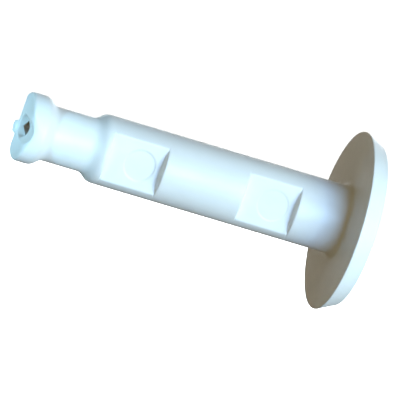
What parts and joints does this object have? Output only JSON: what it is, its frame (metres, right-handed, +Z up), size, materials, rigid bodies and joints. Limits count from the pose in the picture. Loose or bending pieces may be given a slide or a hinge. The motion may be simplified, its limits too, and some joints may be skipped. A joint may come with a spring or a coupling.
{
  "type": "wall anchor",
  "caption": "Flanged plastic wall anchor with flats on its shank, a narrow neck and a flared nose, and a steel pin driven down its bore.",
  "frame": {"origin": "on the anchor's axis, in the plane of the flange's bearing face, which is the mouth of the drilled hole in use", "axes": "+X along the axis from the nose to the flange, so the anchor goes into the wall along -X; +Z up; the two flats face -Y"},
  "size_m": [0.051, 0.026, 0.026],
  "materials": {
    "sleeve_plastic": "moulded, satin",
    "pin_steel": "zinc plated"
  },
  "bodies": {
    "sleeve": {"anchor_sleeve": "sleeve_plastic"},
    "pin": {"drive_pin": "pin_steel"}
  },
  "joints": [
    {"name": "pin_drive", "type": "slide", "parent": "sleeve", "child": "pin", "axis": [1, 0, 0], "range_m": [0, 0.015]}
  ]
}
